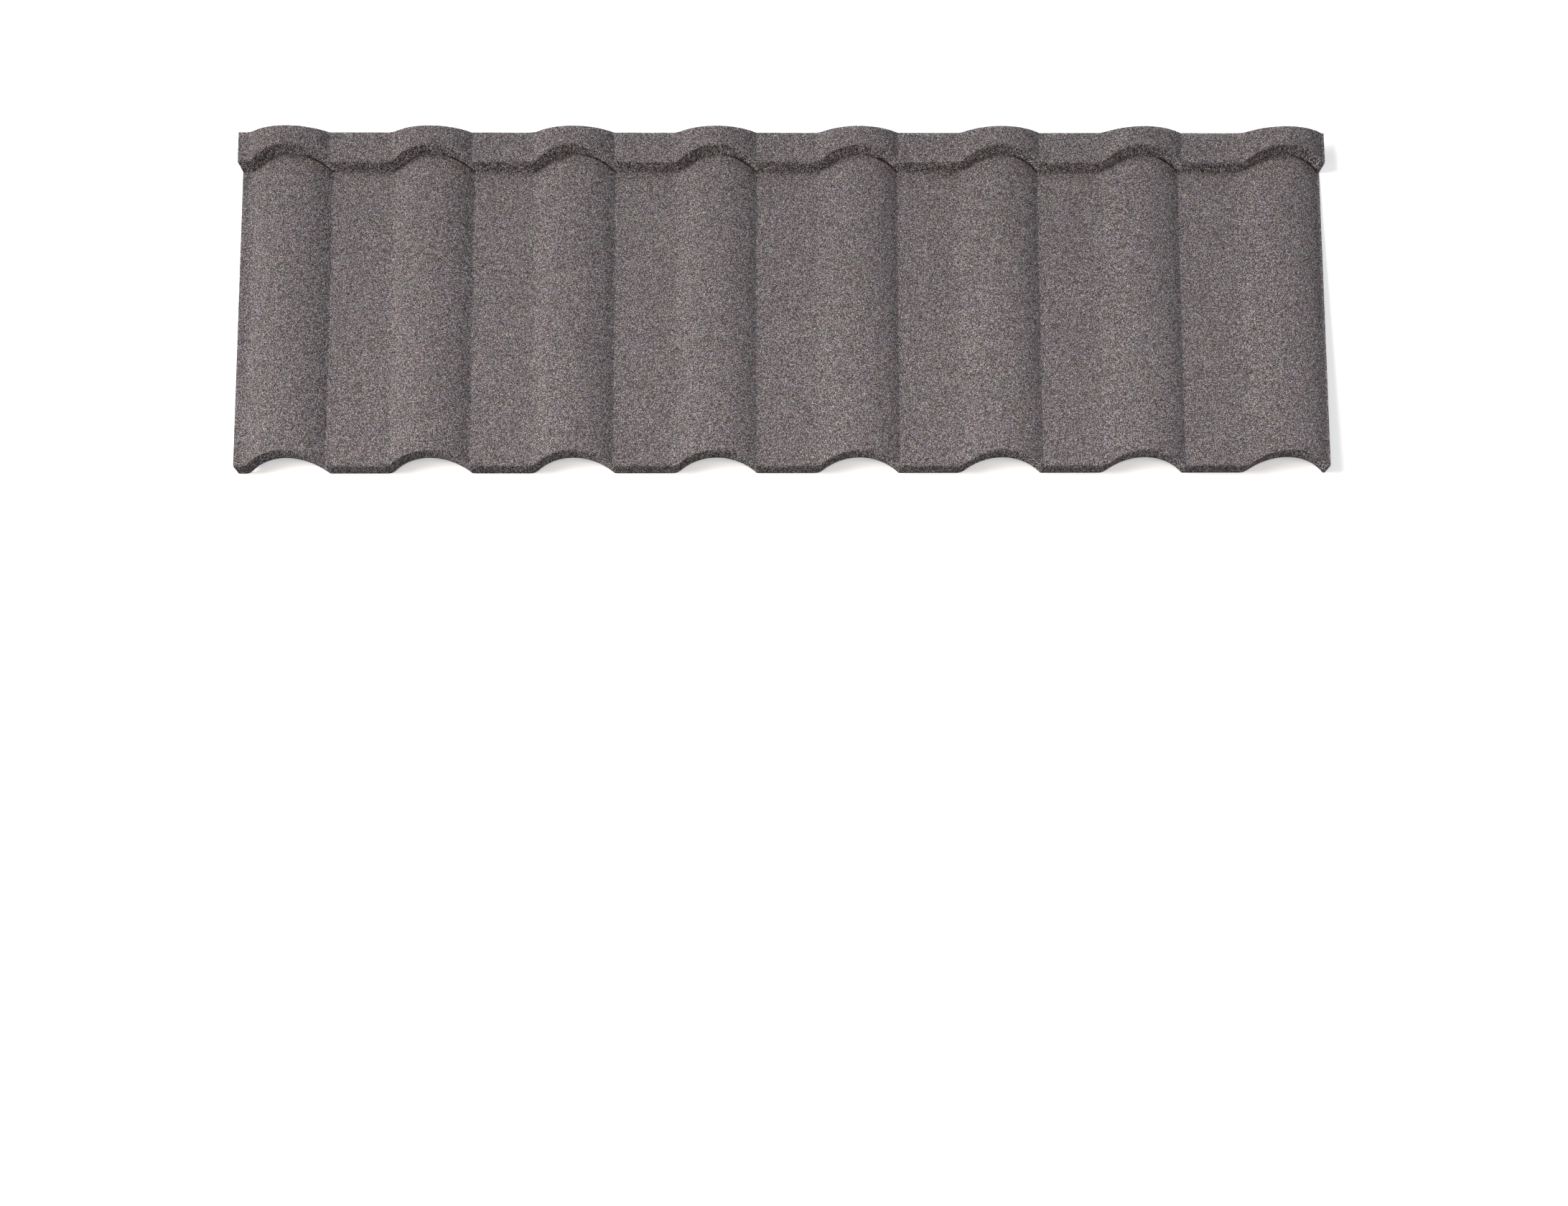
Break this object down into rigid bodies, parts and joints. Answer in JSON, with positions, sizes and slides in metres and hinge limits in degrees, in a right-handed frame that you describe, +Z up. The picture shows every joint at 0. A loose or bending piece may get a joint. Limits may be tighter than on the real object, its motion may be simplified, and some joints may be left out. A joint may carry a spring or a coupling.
{
  "type": "tile effect metal roofing sheet",
  "caption": "Pressed steel roofing sheet with a stone-chip face, tile-like barrels and flat pans, a turned-down nose and a stepped head strip.",
  "frame": {"origin": "middle of the sheet's outline, on the floor that it lies on", "axes": "+X across the roof slope, +Y up the slope from the nose to the head strip, +Z up out of the stone-chip face"},
  "size_m": [1.34, 0.4228, 0.0438],
  "materials": {
    "stone_chip_coat": "rough dark brownish grey stone chips on a coated steel sheet"
  },
  "bodies": {
    "root": {"roofing_sheet": "stone_chip_coat"}
  },
  "joints": []
}
